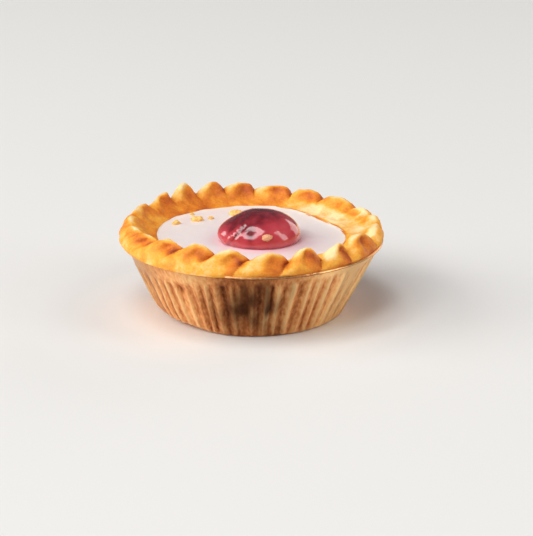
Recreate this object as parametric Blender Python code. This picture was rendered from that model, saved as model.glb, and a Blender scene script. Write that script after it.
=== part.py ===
"""An individual cherry bakewell tart: a pastry shell with a crimped rim, in its own fluted foil case,
filled and topped with a disc of white icing and half a glace cherry.

The tart stands on the flat base of the case. +Z is up, -Y is the side that faces the viewer, and the origin is
at the middle of the footprint. Sizes are in metres, written as a number of millimetres times MM.
"""

import math

import bmesh
import bpy
import numpy as np
from mathutils import Matrix, Vector

MM = 0.001

# Foil case
RIM_RADIUS = 34.0 * MM  # outside of the rolled bead
RIM_HEIGHT = 19.1 * MM  # top of the bead
BEAD = ((-0.5, -0.8), (0.0, -0.45), (-0.25, 0.0), (-0.9, -0.2))  # its section: mm out of the rim and over it
BASE_RADIUS = 23.4 * MM  # flat of the base
BASE_CORNER = (0.7 * MM, 0.4 * MM)  # the corner between base and wall: out and up
BASE_INSIDE = 0.3 * MM  # the flat is this much smaller inside
BASE_SHIFT = -0.3 * MM  # the case leans: its base sits a little to the left of its rim
WALL_FOOT = (24.6 * MM, 1.4 * MM)  # mean radius and height where the wall leaves the base's corner
WALL_TOP = (32.9 * MM, 18.0 * MM)  # and where it meets the bead
FOIL = 0.5 * MM  # wall thickness
FLUTES = 56
FLUTE_DEPTH = 0.38 * MM  # each way from the mean wall
FLUTE_DRIFT = ((3, 1.5, 0.6), (7, 1.1, 2.1), (13, 0.9, 0.0))  # waves round the case that make the pleats uneven
FLUTE_SHARE = 0.76  # of their depth that most pleats have
FLUTE_UNEVEN = ((5, 0.16, 1.0), (13, 0.18, 0.4))  # and waves that make some deeper: number, size and phase
FLUTE_LOW = (1.5 * MM, 0.7)  # height and share of their depth at which the pleats begin
FLUTE_LOW_INSIDE = (1.7 * MM, 0.7)
FLUTE_HIGH = (17.9 * MM, 0.8)  # and at which they end
COLUMNS_PER_FLUTE = 4

# Pastry
GAP = 0.32 * MM  # clearance kept between neighbouring solids
BODY_CORNER = 1.2 * MM  # the pastry's underside is this much smaller than the case's base
BODY_HEIGHTS = (2.2 * MM, 17.4 * MM)  # between which it follows the case's wall
NECK = (1.5 * MM, 0.2 * MM)  # how far inside the rim's radius and under its height it passes the bead
BED_INSET = 0.2 * MM  # the bed under the icing is this much smaller than the icing's outline
SECTION_RISE = 5.6 * MM  # height of the crimp that CRIMP_SECTION is drawn for
GROOVE_RISE = 2.2 * MM  # and of the groove that GROOVE_SECTION is drawn for
SECTION_CREST = 30.6 * MM  # both sections have their crest at this radius
LIP = 0.6 * MM  # how far the pastry swells over the case where it overhangs most
LIP_DROP = 0.6 * MM  # and how far it hangs there
LIP_AZIMUTH = 205.0  # where that is, in degrees
LIP_HALF_WIDTH = 75.0
TWIST = 8.0  # degrees by which a groove slants from the crest down to the case
TWIST_AZIMUTH = 235.0

# Dents and pinched grooves. A place down the section runs from 0 at the case to 1 at the icing, and a place across
# a crimp from 0 to 1: each row is the place down, its width, the place across and its width.
DENT_OUTSIDE = (0.26, 0.12, 0.62, 0.20)
DENT_INSIDE = (0.66, 0.10, 0.42, 0.22)
HOLLOW_OUTSIDE = 0.8 * MM
HOLLOW_INSIDE = 0.7 * MM
PINCH = 0.8 * MM
PINCH_OUTSIDE = (0.30, 0.13)
PINCH_INSIDE = (0.64, 0.12)
PINCH_WIDTH = 0.09
DEEP_GROOVE = 2.0 * MM  # a groove this far under its crimp is pinched in full

# Icing and cherry
ICING_RADIUS = 25.1 * MM
THICK_SIDE = 3.9 * MM  # the pastry wall is this much thicker behind, on the right
THICK_AZIMUTH = 32.0
THICK_HALF_WIDTH = 60.0
RIPPLE = (5, 0.25 * MM, 0.8)  # waves round the icing's edge, size and phase
LEDGE_SPAN = (-12.0, 6.0, 56.0, 74.0)  # azimuths where the ledge on the thick side fades in and out
ICING_EDGE = 0.5 * MM  # height of the icing's edge over the case's rim
ICING_DOME = 0.4 * MM
ICING_THICKNESS = 2.1 * MM
ICING_ROUND = 0.45 * MM  # the icing's edge is rounded down by this much
ICING_TAPER = 0.985  # its underside is this much smaller
ICING_RINGS = (0.96, 0.6, 0.25, 0.0)  # from its edge, 1, to the dimple under the cherry, 0
ICING_COLUMNS = 60
CHERRY_PLACE = (1.9 * MM, -5.6 * MM)
CHERRY_RADIUS = 10.3 * MM
CHERRY_FOOT = 9.2 * MM  # radius of the cut face
CHERRY_HEIGHT = 7.7 * MM  # over the icing
CHERRY_SUNK = 0.5 * MM
CHERRY_EQUATOR = 0.22  # share of the height at which it is widest
CHERRY_TIP = (195.0, 42.0, 0.09)  # azimuth, half width and share of the radius by which its stem end sticks out
CHERRY_TIP_PLACE = (0.42, 0.32)  # share of the height at which it does, and its width
CHERRY_SHOULDER = (178.0, 80.0, 0.14)  # over it the skin slopes in by this share
CHERRY_SHOULDER_PLACE = (0.82, 0.26)
CHERRY_CREASES = (190.0, 60.0, 0.03)
CHERRY_CREASE_COUNT = 7
CHERRY_OVAL = (0.02, 0.4)
CHERRY_LEVELS = (0.0, 0.10, CHERRY_EQUATOR, 0.42, 0.62, 0.78, 0.90, 0.97)  # heights of its rings, as shares
CHERRY_COLUMNS = 44
SOCKET_MARGIN = 0.6 * MM  # the dimple in the icing is this much wider than the cherry
SOCKET_TAPER = 0.4 * MM  # and its floor this much narrower than its mouth

# One row for each crimp, anticlockwise seen from above: azimuth of the groove where it starts, in degrees,
# that groove's rise and the crimp's rise over the rim, the radius of its crest, all in mm, where in its
# width its peak stands, from 0 to 1, how pointed it is, and how deep its dents are.
CRIMPS = (
    (5.0, 1.9, 3.4, 32.2, 0.50, 0.7, 0.6),
    (17.8, 1.7, 3.6, 31.7, 0.50, 0.7, 0.8),
    (30.5, 2.6, 4.3, 31.2, 0.55, 0.7, 0.7),
    (52.7, 2.6, 4.6, 31.0, 0.50, 0.55, 0.9),
    (70.2, 2.2, 5.0, 30.9, 0.36, 0.65, 0.9),
    (90.0, 3.3, 5.7, 30.9, 0.32, 0.6, 1.0),
    (105.4, 4.0, 6.3, 31.0, 0.38, 1.0, 0.8),
    (120.7, 3.5, 7.0, 31.3, 0.40, 1.0, 1.0),
    (136.4, 3.6, 5.8, 31.5, 0.24, 1.0, 0.8),
    (152.9, 3.5, 4.9, 31.8, 0.32, 0.9, 0.5),
    (170.0, 3.7, 4.3, 31.7, 0.50, 0.8, 0.2),
    (186.0, 3.5, 4.2, 30.5, 0.50, 0.8, 0.5),
    (201.0, 3.1, 4.6, 29.3, 0.50, 0.8, 1.0),
    (216.8, 3.3, 5.3, 28.7, 0.48, 0.8, 1.1),
    (234.3, 3.5, 5.8, 28.7, 0.50, 0.8, 0.8),
    (252.4, 3.0, 5.3, 29.2, 0.50, 0.8, 1.0),
    (269.0, 2.7, 4.8, 29.6, 0.54, 0.9, 0.7),
    (288.1, 1.8, 5.3, 29.8, 0.50, 1.0, 1.2),
    (305.3, 1.3, 4.7, 30.0, 0.60, 0.9, 0.8),
    (321.2, 1.4, 4.9, 30.4, 0.42, 0.8, 1.2),
    (343.4, 1.5, 3.9, 31.8, 0.50, 0.7, 0.9),
)
COLUMNS_PER_CRIMP = 9

# Cross-sections of the rim from its outer foot, over the crest, to the icing: radius and rise in mm
CRIMP_SECTION = (
    (33.3, 0.35),
    (33.9, 1.3),
    (33.5, 2.9),
    (32.6, 4.4),
    (31.6, 5.35),
    (30.6, 5.6),
    (29.6, 5.1),
    (28.8, 3.9),
    (27.9, 2.6),
    (26.7, 1.5),
    (25.1, 0.8),
)
GROOVE_SECTION = (
    (33.2, 0.35),
    (33.4, 0.9),
    (33.0, 1.5),
    (32.3, 2.0),
    (31.5, 2.2),
    (30.6, 2.2),
    (29.6, 2.0),
    (28.6, 1.7),
    (27.5, 1.35),
    (26.4, 1.05),
    (25.1, 0.8),
)
# The crimp's section from its crest to the icing where the pastry is thick: a steep face over a flat ledge
LEDGE_SECTION = CRIMP_SECTION[:5] + (
    (30.6, 5.6),
    (29.9, 4.9),
    (29.3, 3.4),
    (28.7, 2.0),
    (27.6, 1.2),
    (25.1, 0.8),
)
CREST_ROW = 5

# Loose crumbs on the icing: x, y, length, width in mm, and turn in degrees
ICING_CRUMBS = (
    (-20.2, 8.2, 2.2, 1.8, 20.0),
    (-14.8, 10.9, 3.1, 2.2, 5.0),
    (-11.2, 12.8, 1.7, 1.2, 40.0),
    (-16.4, 16.9, 1.4, 1.1, 70.0),
    (-4.6, 16.6, 3.3, 2.0, 10.0),
)
CHERRY_CRUMB = (3.7, -15.3, 2.8, 1.9, 15.0)
CRUMB_FLATNESS = 0.7  # height over width
CRUMB_LIFT = 0.1  # share of its width by which its middle stands over what it lies on

PASTRY_BROWN = (0.72, 0.35, 0.10)
ICING_WHITE = (0.86, 0.80, 0.82)
CHERRY_RED = (0.35, 0.02, 0.04)
FOIL_COPPER = (0.58, 0.31, 0.15)


def clear_scene():
    for obj in list(bpy.data.objects):
        bpy.data.objects.remove(obj, do_unlink=True)


def material(name, colour, roughness, metallic=0.0):
    made = bpy.data.materials.new(name)
    made.use_nodes = True
    shader = made.node_tree.nodes["Principled BSDF"]
    shader.inputs["Base Color"].default_value = (*colour, 1.0)
    shader.inputs["Roughness"].default_value = roughness
    shader.inputs["Metallic"].default_value = metallic
    return made


def hump(azimuth, centre, half_width):
    """A smooth hump, 1 at centre and 0 beyond half_width on either side. Azimuths are in degrees."""
    away = np.abs((np.asarray(azimuth) - centre + 180.0) % 360.0 - 180.0)
    return np.where(away < half_width, 0.5 + 0.5 * np.cos(np.pi * away / half_width), 0.0)


def bell(value, centre, width):
    """A bell curve, 1 at centre."""
    return np.exp(-(((value - centre) / width) ** 2))


def smooth_step(value, low, high):
    """0 below low, 1 above high and a smooth climb between them."""
    t = np.clip((value - low) / (high - low), 0.0, 1.0)
    return t * t * (3.0 - 2.0 * t)


def waves(turn, rows):
    """Sum of sine waves round the axis, a row of waves in a turn, size and phase for each."""
    return sum(size * np.sin(count * turn + phase) for count, size, phase in rows)


def ring(radius, height, azimuths, shift=0.0):
    """Points round the axis. Radius and height may be single values or one for each azimuth."""
    turn = np.radians(azimuths)
    radius = np.broadcast_to(radius, turn.shape)
    height = np.broadcast_to(height, turn.shape)
    return np.stack([radius * np.cos(turn) + shift, radius * np.sin(turn), height], axis=1)


def lean(height):
    """Sideways shift of the case and of what stands in it: full at the base, none at the rim."""
    return BASE_SHIFT * (1.0 - np.clip(np.mean(height) / RIM_HEIGHT, 0.0, 1.0))


def loft(name, rings, first_pole, last_pole, finish):
    """A closed solid through rings of equally many points, capped by a fan to a point at each end.
    The rings run from the middle of the underside, outwards and up, to the middle of the top."""
    mesh = bmesh.new()
    rows = [[mesh.verts.new(point) for point in points] for points in rings]
    for lower, upper in zip(rows, rows[1:]):
        for i in range(len(lower)):
            j = (i + 1) % len(lower)
            mesh.faces.new((lower[i], lower[j], upper[j], upper[i]))
    for row, pole, way in ((rows[0], first_pole, 1), (rows[-1], last_pole, -1)):
        middle = mesh.verts.new(pole)
        for i in range(len(row)):
            j = (i + 1) % len(row)
            mesh.faces.new((middle, row[j], row[i])[::way])
    bmesh.ops.triangulate(mesh, faces=[f for f in mesh.faces if len(f.verts) > 3])
    data = bpy.data.meshes.new(name)
    mesh.to_mesh(data)
    mesh.free()
    data.shade_smooth()
    data.set_sharp_from_angle(angle=math.radians(50.0))
    data.materials.append(finish)
    solid = bpy.data.objects.new(name, data)
    bpy.context.scene.collection.objects.link(solid)
    return solid


# Foil case


def wall_radius(height):
    """Mean radius of the case's wall, a cone from the base's corner to just under the bead."""
    share = (height - WALL_FOOT[1]) / (WALL_TOP[1] - WALL_FOOT[1])
    return WALL_FOOT[0] + (WALL_TOP[0] - WALL_FOOT[0]) * share


def flute_columns():
    """Azimuths in degrees of the case's columns, the same number on every pleat however wide it is, and the
    pleats' relief there, from about -1 in a crease to 1 on a ridge."""
    fine = np.linspace(0.0, 2.0 * np.pi, 4001)
    phase = FLUTES * fine + waves(fine, FLUTE_DRIFT)
    columns = FLUTES * COLUMNS_PER_FLUTE
    wanted = phase[0] + np.arange(columns) * 2.0 * np.pi / COLUMNS_PER_FLUTE
    turn = np.interp(wanted, phase, fine)
    depth = FLUTE_SHARE + waves(turn, FLUTE_UNEVEN)
    return np.degrees(turn), depth * np.sin(wanted)


def build_case():
    azimuths, pleats = flute_columns()

    def wall(height, depth, inset=0.0):
        radius = wall_radius(height) - inset + depth * FLUTE_DEPTH * pleats
        return ring(radius, height, azimuths, lean(height))

    def hoop(radius, height):
        return ring(radius, height, azimuths, lean(height))

    corner = hoop(BASE_RADIUS + BASE_CORNER[0], BASE_CORNER[1])
    outside = [hoop(BASE_RADIUS, 0.0), corner, wall(*FLUTE_LOW), wall(*FLUTE_HIGH)]
    bead = [hoop(RIM_RADIUS + out * MM, RIM_HEIGHT + up * MM) for out, up in BEAD]
    inside = [wall(*FLUTE_HIGH, FOIL), wall(*FLUTE_LOW_INSIDE, FOIL), hoop(BASE_RADIUS - BASE_INSIDE, FOIL)]
    floor_shift = lean(0.0)
    return loft(
        "foil_case",
        outside + bead + inside,
        (floor_shift, 0.0, 0.0),
        (floor_shift, 0.0, FOIL),
        material("copper_foil", FOIL_COPPER, 0.35, 1.0),
    )


# Pastry


def crimp_at(azimuths):
    """For each azimuth: the groove's rise and the crimp's rise there, the crest's radius, in metres, how far it
    lies across its crimp, from 0 to 1, the crimp's share, from 0 in a groove to 1 on a peak, and how deep its
    dents are."""
    rows = np.array(CRIMPS)
    starts = np.append(rows[:, 0], rows[0, 0] + 360.0)
    turn = (np.asarray(azimuths) - starts[0]) % 360.0 + starts[0]
    which = np.clip(np.searchsorted(starts, turn, side="right") - 1, 0, len(rows) - 1)
    before, after = (which - 1) % len(rows), (which + 1) % len(rows)
    _, groove, rise, crest, peak, pointed, dents = rows[which].T
    across = (turn - starts[which]) / (starts[which + 1] - starts[which])
    groove = groove + (rows[after, 1] - groove) * across
    bent = across ** (math.log(0.5) / np.log(peak))
    share = np.sin(np.pi * np.clip(bent, 0.0, 1.0)) ** pointed
    edge_before = 0.5 * (rows[before, 3] + crest)
    edge_after = 0.5 * (crest + rows[after, 3])
    bulge = (crest - 0.5 * (edge_before + edge_after)) * np.sin(np.pi * across)
    crest = edge_before + (edge_after - edge_before) * across + bulge
    return groove * MM, rise * MM, crest * MM, across, share, dents


def icing_outline(azimuths):
    """Radius of the icing's edge, which the pastry wall crowds on its thick side."""
    away = hump(azimuths, THICK_AZIMUTH, THICK_HALF_WIDTH)
    return ICING_RADIUS - THICK_SIDE * away + waves(np.radians(azimuths), [RIPPLE])


def rim_row(row, azimuths):
    """One ring of the crimped rim, from the outer foot, row 0, over the crest to the icing's edge."""
    last = len(CRIMP_SECTION) - 1
    down = 1.0 - min(row / CREST_ROW, 1.0)
    slant = TWIST * (0.5 + 0.5 * np.cos(np.radians(azimuths - TWIST_AZIMUTH)))
    groove, rise, crest, across, share, dents = crimp_at(azimuths + slant * down)

    def section(points, drawn_rise, wanted_rise):
        radius, height = points[row][0] * MM, points[row][1] * MM
        foot = points[0 if row <= CREST_ROW else last][1] * MM
        height = foot + (height - foot) * (wanted_rise - foot) / (drawn_rise - foot)
        if row <= CREST_ROW:
            radius = radius + (crest - SECTION_CREST) * row / CREST_ROW
        else:
            reach = (crest - icing_outline(azimuths)) / (SECTION_CREST - points[last][0] * MM)
            radius = crest + (radius - SECTION_CREST) * reach
        return np.stack([radius, height])

    def dent(place, place_width, side, side_width):
        return dents * bell(row / last, place, place_width) * bell(across, side, side_width)

    fade_in, full, fade_out, gone = LEDGE_SPAN
    turn = (azimuths + 180.0) % 360.0 - 180.0
    ledge = smooth_step(turn, fade_in, full) * (1.0 - smooth_step(turn, fade_out, gone))
    crimp = section(CRIMP_SECTION, SECTION_RISE, rise)
    crimp += (section(LEDGE_SECTION, SECTION_RISE, rise) - crimp) * ledge
    valley = section(GROOVE_SECTION, GROOVE_RISE, groove)
    radius, height = valley + (crimp - valley) * share

    radius = radius - HOLLOW_OUTSIDE * dent(*DENT_OUTSIDE) + HOLLOW_INSIDE * dent(*DENT_INSIDE)
    in_groove = bell(across, 0.0, PINCH_WIDTH) + bell(across, 1.0, PINCH_WIDTH)
    pinched = PINCH * in_groove * np.clip((rise - groove) / DEEP_GROOVE, 0.0, 1.0)
    radius = radius - pinched * (bell(row / last, *PINCH_OUTSIDE) - bell(row / last, *PINCH_INSIDE))
    lip = hump(azimuths, LIP_AZIMUTH, LIP_HALF_WIDTH)
    radius = radius + LIP * lip * max(0.0, 1.0 - abs(row - 1.0) / 3.0)
    height = height - LIP_DROP * lip * (row == 1)
    return ring(radius, RIM_HEIGHT + height, azimuths)


def build_pastry():
    starts = [row[0] for row in CRIMPS]
    ends = starts[1:] + [starts[0] + 360.0]
    steps = np.arange(COLUMNS_PER_CRIMP) / COLUMNS_PER_CRIMP
    azimuths = np.concatenate([start + (end - start) * steps for start, end in zip(starts, ends)])

    def side(height):
        radius = wall_radius(height) - FOIL - FLUTE_DEPTH - GAP
        return ring(radius, height, azimuths, lean(height))

    under = FOIL + GAP
    body = [ring(BASE_RADIUS - BODY_CORNER, under, azimuths, lean(0.0))]
    body += [side(height) for height in BODY_HEIGHTS]
    neck = [ring(RIM_RADIUS - NECK[0], RIM_HEIGHT - NECK[1], azimuths)]
    rim = [rim_row(row, azimuths) for row in range(len(CRIMP_SECTION))]
    bed_height = RIM_HEIGHT + ICING_EDGE - ICING_THICKNESS
    bed = [ring(icing_outline(azimuths) - BED_INSET, bed_height, azimuths)]
    return loft(
        "pastry_shell",
        body + neck + rim + bed,
        (lean(0.0), 0.0, under),
        (0.0, 0.0, bed_height),
        material("baked_pastry", PASTRY_BROWN, 0.65),
    )


# Icing, cherry and crumbs


def icing_top(x, y):
    """Height of the icing's gently domed top."""
    share = np.clip((x**2 + y**2) / ICING_RADIUS**2, 0.0, 1.0)
    return RIM_HEIGHT + ICING_EDGE + ICING_DOME * (1.0 - share)


def crumb_at(x, y, height, length, width, turn):
    """A flat, uneven crumb lying half sunk at x, y."""
    bpy.ops.mesh.primitive_ico_sphere_add(subdivisions=2, radius=0.5 * MM)
    crumb = bpy.context.object
    for vertex in crumb.data.vertices:
        unit = vertex.co.normalized()
        vertex.co *= 1.0 + 0.13 * math.sin(5.0 * unit.x + 3.0 * unit.y + turn) + 0.08 * math.sin(6.0 * unit.y - turn)
    crumb.data.transform(Matrix.Diagonal((length, width, CRUMB_FLATNESS * width, 1.0)))
    crumb.data.transform(Matrix.Rotation(math.radians(turn), 4, "Z"))
    crumb.data.transform(Matrix.Translation(Vector((x * MM, y * MM, height + CRUMB_LIFT * width * MM))))
    return crumb


def fuse(target, crumbs):
    """Joins the crumbs to target with one union and removes them."""
    group = bpy.data.collections.new("crumbs")
    for crumb in crumbs:
        group.objects.link(crumb)
    union = target.modifiers.new("crumbs", "BOOLEAN")
    union.operation = "UNION"
    union.solver = "EXACT"
    union.operand_type = "COLLECTION"
    union.collection = group
    bpy.context.view_layer.objects.active = target
    bpy.ops.object.modifier_apply(modifier=union.name)
    for crumb in crumbs:
        bpy.data.objects.remove(crumb, do_unlink=True)
    bpy.data.collections.remove(group)


def cherry_radius(azimuths, up):
    """Radius of the cherry's skin: on the left, where the stem was, it is creased, a tip sticks out and the
    shoulder over that slopes. up runs from 0 at the cut face to 1 at the top."""
    turn = np.radians(azimuths)
    if up < CHERRY_EQUATOR:
        share = math.sin(0.5 * math.pi * up / CHERRY_EQUATOR)
        radius = CHERRY_FOOT + (CHERRY_RADIUS - CHERRY_FOOT) * share
    else:
        share = (up - CHERRY_EQUATOR) / (1.0 - CHERRY_EQUATOR)
        radius = CHERRY_RADIUS * math.sqrt(max(0.0, 1.0 - share**2))
    middle, half_width, depth = CHERRY_CREASES
    creases = depth * hump(azimuths, middle, half_width) * np.cos(CHERRY_CREASE_COUNT * turn) * (1.0 - up)
    middle, half_width, reach = CHERRY_TIP
    tip = reach * hump(azimuths, middle, half_width) * bell(up, *CHERRY_TIP_PLACE)
    middle, half_width, depth = CHERRY_SHOULDER
    shoulder = depth * hump(azimuths, middle, half_width) * bell(up, *CHERRY_SHOULDER_PLACE)
    size, phase = CHERRY_OVAL
    return radius * (1.0 + creases + tip - shoulder + size * np.cos(2 * turn + phase))


def build_icing():
    azimuths = np.arange(ICING_COLUMNS) * 360.0 / ICING_COLUMNS
    centre = np.array([*CHERRY_PLACE, 0.0])
    edge = ring(icing_outline(azimuths) - GAP - BED_INSET, 0.0, azimuths)
    level = CHERRY_SUNK / (CHERRY_SUNK + CHERRY_HEIGHT)
    socket_radius = cherry_radius(azimuths, level) + SOCKET_MARGIN
    socket = centre + ring(socket_radius, 0.0, azimuths)

    def top(share, sunk=0.0):
        points = socket + (edge - socket) * share
        points[:, 2] = icing_top(points[:, 0], points[:, 1]) - sunk
        return points

    bottom_height = RIM_HEIGHT + ICING_EDGE - ICING_THICKNESS + GAP
    bottom = edge * ICING_TAPER + np.array([0.0, 0.0, bottom_height])
    floor_height = icing_top(*CHERRY_PLACE) - CHERRY_SUNK - GAP
    floor = centre + ring(socket_radius - SOCKET_TAPER, floor_height, azimuths)
    solid = loft(
        "icing",
        [bottom, top(1.0, ICING_ROUND)] + [top(share) for share in ICING_RINGS] + [floor],
        (0.0, 0.0, bottom_height),
        (*CHERRY_PLACE, floor_height),
        material("white_icing", ICING_WHITE, 0.4),
    )
    fuse(solid, [crumb_at(x, y, icing_top(x * MM, y * MM), *sizes) for x, y, *sizes in ICING_CRUMBS])
    return solid


def build_cherry():
    azimuths = np.arange(CHERRY_COLUMNS) * 360.0 / CHERRY_COLUMNS
    centre = np.array([*CHERRY_PLACE, 0.0])
    foot = icing_top(*CHERRY_PLACE) - CHERRY_SUNK
    height = CHERRY_HEIGHT + CHERRY_SUNK
    rings = [centre + ring(cherry_radius(azimuths, up), foot + up * height, azimuths) for up in CHERRY_LEVELS]
    solid = loft(
        "glace_cherry",
        rings,
        (*CHERRY_PLACE, foot),
        (*CHERRY_PLACE, foot + height),
        material("glace_cherry_skin", CHERRY_RED, 0.15),
    )
    x, y, *sizes = CHERRY_CRUMB
    out = math.hypot(x * MM - CHERRY_PLACE[0], y * MM - CHERRY_PLACE[1]) / CHERRY_RADIUS
    dome = CHERRY_EQUATOR + (1.0 - CHERRY_EQUATOR) * math.sqrt(max(0.0, 1.0 - out**2))
    fuse(solid, [crumb_at(x, y, foot + height * dome, *sizes)])
    return solid


clear_scene()
build_case()
build_pastry()
build_icing()
build_cherry()
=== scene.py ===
import math

import bpy
import numpy as np
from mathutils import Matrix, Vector


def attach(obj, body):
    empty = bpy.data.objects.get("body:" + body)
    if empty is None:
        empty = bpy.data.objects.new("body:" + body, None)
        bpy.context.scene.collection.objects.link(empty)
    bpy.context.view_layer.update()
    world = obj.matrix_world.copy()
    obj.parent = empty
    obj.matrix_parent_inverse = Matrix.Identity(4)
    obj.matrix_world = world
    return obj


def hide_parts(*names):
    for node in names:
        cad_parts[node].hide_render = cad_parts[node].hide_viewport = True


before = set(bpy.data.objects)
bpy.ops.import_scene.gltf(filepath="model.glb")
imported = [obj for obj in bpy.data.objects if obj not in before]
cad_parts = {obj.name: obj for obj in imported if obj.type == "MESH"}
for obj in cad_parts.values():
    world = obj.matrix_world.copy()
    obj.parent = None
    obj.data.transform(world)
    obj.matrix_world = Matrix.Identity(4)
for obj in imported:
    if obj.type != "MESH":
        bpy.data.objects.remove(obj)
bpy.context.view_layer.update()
print("frame loaded:", sorted(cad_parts))

mm = 0.001

# What the whole tart is built round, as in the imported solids
tart = {
    "rimRadius": 34.0,  # outside of the case's rolled bead, mm
    "rimHeight": 19.1,
    "icingRadius": 25.1,
    "icingEdge": 0.5,  # icing over the rim, at its edge
    "icingDome": 0.4,
    "thickSide": 3.9,  # the pastry wall crowds the icing by this much, behind on the right
    "thickAzimuth": 32.0,
    "baseShift": -0.3,
}


def toLinear(hexText):
    # sRGB hex to linear RGBA: c/12.92 near black, ((c + 0.055)/1.055)^2.4 above
    srgb = [int(hexText[i : i + 2], 16) / 255 for i in (1, 3, 5)]
    return [c / 12.92 if c <= 0.04045 else ((c + 0.055) / 1.055) ** 2.4 for c in srgb] + [1.0]


def addNode(tree, kind, settings=None, links=None):
    # settings: attribute or socket name to value; links: socket name to the output it is fed from
    node = tree.nodes.new(kind)
    for name, value in (settings or {}).items():
        if isinstance(name, str) and hasattr(node, name):
            setattr(node, name, value)
        else:
            node.inputs[name].default_value = value
    for name, source in (links or {}).items():
        tree.links.new(source, node.inputs[name])
    return node


def newMaterial(name, values):
    # values: socket name of the surface shader to value; place gives the piece's own coordinates
    made = bpy.data.materials.new(name)
    made.use_nodes = True
    shader = made.node_tree.nodes["Principled BSDF"]
    for socket, value in values.items():
        shader.inputs[socket].default_value = value
    place = addNode(made.node_tree, "ShaderNodeTexCoord").outputs["Object"]
    return made, made.node_tree, shader, place


def setRamp(ramp, stops):
    # stops: (position, hex colour) in order
    points = ramp.color_ramp.elements
    while len(points) < len(stops):
        points.new(0.5)
    for point, (position, colour) in zip(points, stops):
        point.position = position
        point.color = toLinear(colour)


def softNoise(points, cell, seed=0):
    # hashed values at the corners of cubes of side cell, blended by 3t^2 - 2t^3 along each axis, -1 to 1
    scaled = points / cell
    corner = np.floor(scaled).astype(np.int64)
    part = scaled - corner
    part = part * part * (3 - 2 * part)
    total = np.zeros(points.shape[:-1])
    for offset in np.ndindex(2, 2, 2):
        at = corner + np.array(offset)
        mixed = at[..., 0] * 73856093 ^ at[..., 1] * 19349663 ^ at[..., 2] * 83492791 ^ (seed + 1) * 40503
        mixed = (mixed ^ (mixed >> 13)) * 1274126177
        value = ((mixed ^ (mixed >> 16)) & 0xFFFF) / 32767.5 - 1
        weight = np.prod(np.where(np.array(offset) == 1, part, 1 - part), axis=-1)
        total += value * weight
    return total


def hump(azimuth, centre, halfWidth):
    # 0.5 + 0.5 cos(pi away / halfWidth) within halfWidth degrees of centre, else 0
    away = np.abs((azimuth - centre + 180) % 360 - 180)
    return np.where(away < halfWidth, 0.5 + 0.5 * np.cos(np.pi * away / halfWidth), 0.0)


def bell(value, centre, width):
    # exp(-((value - centre) / width)^2)
    return np.exp(-(((value - centre) / width) ** 2))


def smoothStep(value, low, high):
    # 3t^2 - 2t^3, where t goes from 0 at low to 1 at high
    t = np.clip((value - low) / (high - low), 0, 1)
    return t * t * (3 - 2 * t)


def spots(azimuth, rows):
    # sum of more * hump, from rows of (azimuth, degrees to each side, more)
    return sum(more * hump(azimuth, place, halfWidth) for place, halfWidth, more in rows)


def waves(turn, rows):
    # sum of size * sin(times * turn + phase), from rows of (times round, size, phase)
    return sum(size * np.sin(times * turn + phase) for times, size, phase in rows)


def aroundAxis(radius, azimuth, height, shift=0.0):
    # (radius cos a + shift, radius sin a, height), in mm
    turn = np.radians(azimuth)
    radius, height = np.broadcast_arrays(radius * np.ones_like(turn), height * np.ones_like(turn))
    return np.stack([radius * np.cos(turn) + shift, radius * np.sin(turn), height], axis=-1)


def gridNormals(points):
    # cross product of the differences along a row and up a column; rows close on themselves
    along = np.roll(points, -1, axis=1) - np.roll(points, 1, axis=1)
    upward = np.gradient(points, axis=0)
    normal = np.cross(along, upward)
    return normal / np.maximum(np.linalg.norm(normal, axis=-1, keepdims=True), 1e-9)


def closedSurface(name, points, firstPole, lastPole, material, attributes=None):
    # rows of points in mm that each close round the axis, quads between rows, a fan to a pole at each end;
    # rows run from the middle of the underside, outwards and up, to the middle of the top
    rows, columns = points.shape[:2]
    vertices = np.concatenate([points.reshape(-1, 3), [firstPole], [lastPole]]) * mm
    i, j = np.meshgrid(np.arange(rows - 1), np.arange(columns), indexing="ij")
    right = (j + 1) % columns
    here, above = i * columns, (i + 1) * columns
    quads = np.stack([here + j, here + right, above + right, above + j], -1).reshape(-1, 4)
    edge = np.arange(columns)
    nextEdge = (edge + 1) % columns
    low, high = rows * columns, rows * columns + 1
    bottomFan = np.stack([np.full(columns, low), nextEdge, edge], -1)
    last = (rows - 1) * columns
    topFan = np.stack([np.full(columns, high), last + edge, last + nextEdge], -1)
    loops = np.concatenate([quads.ravel(), bottomFan.ravel(), topFan.ravel()])
    sizes = np.concatenate([np.full(len(quads), 4), np.full(2 * columns, 3)])
    mesh = bpy.data.meshes.new(name)
    mesh.vertices.add(len(vertices))
    mesh.vertices.foreach_set("co", vertices.astype(np.float32).ravel())
    mesh.loops.add(len(loops))
    mesh.loops.foreach_set("vertex_index", loops.astype(np.int32))
    mesh.polygons.add(len(sizes))
    mesh.polygons.foreach_set("loop_start", np.concatenate([[0], np.cumsum(sizes)[:-1]]).astype(np.int32))
    mesh.update(calc_edges=True)
    mesh.validate()
    mesh.shade_smooth()
    for label, values in (attributes or {}).items():
        ends = [values[0].mean(), values[-1].mean()]
        field = mesh.attributes.new(label, "FLOAT", "POINT")
        field.data.foreach_set("value", np.concatenate([values.ravel(), ends]).astype(np.float32))
    mesh.materials.append(material)
    piece = bpy.data.objects.new(name, mesh)
    bpy.context.scene.collection.objects.link(piece)
    print("made", name, len(mesh.polygons), "faces")
    return piece


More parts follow.
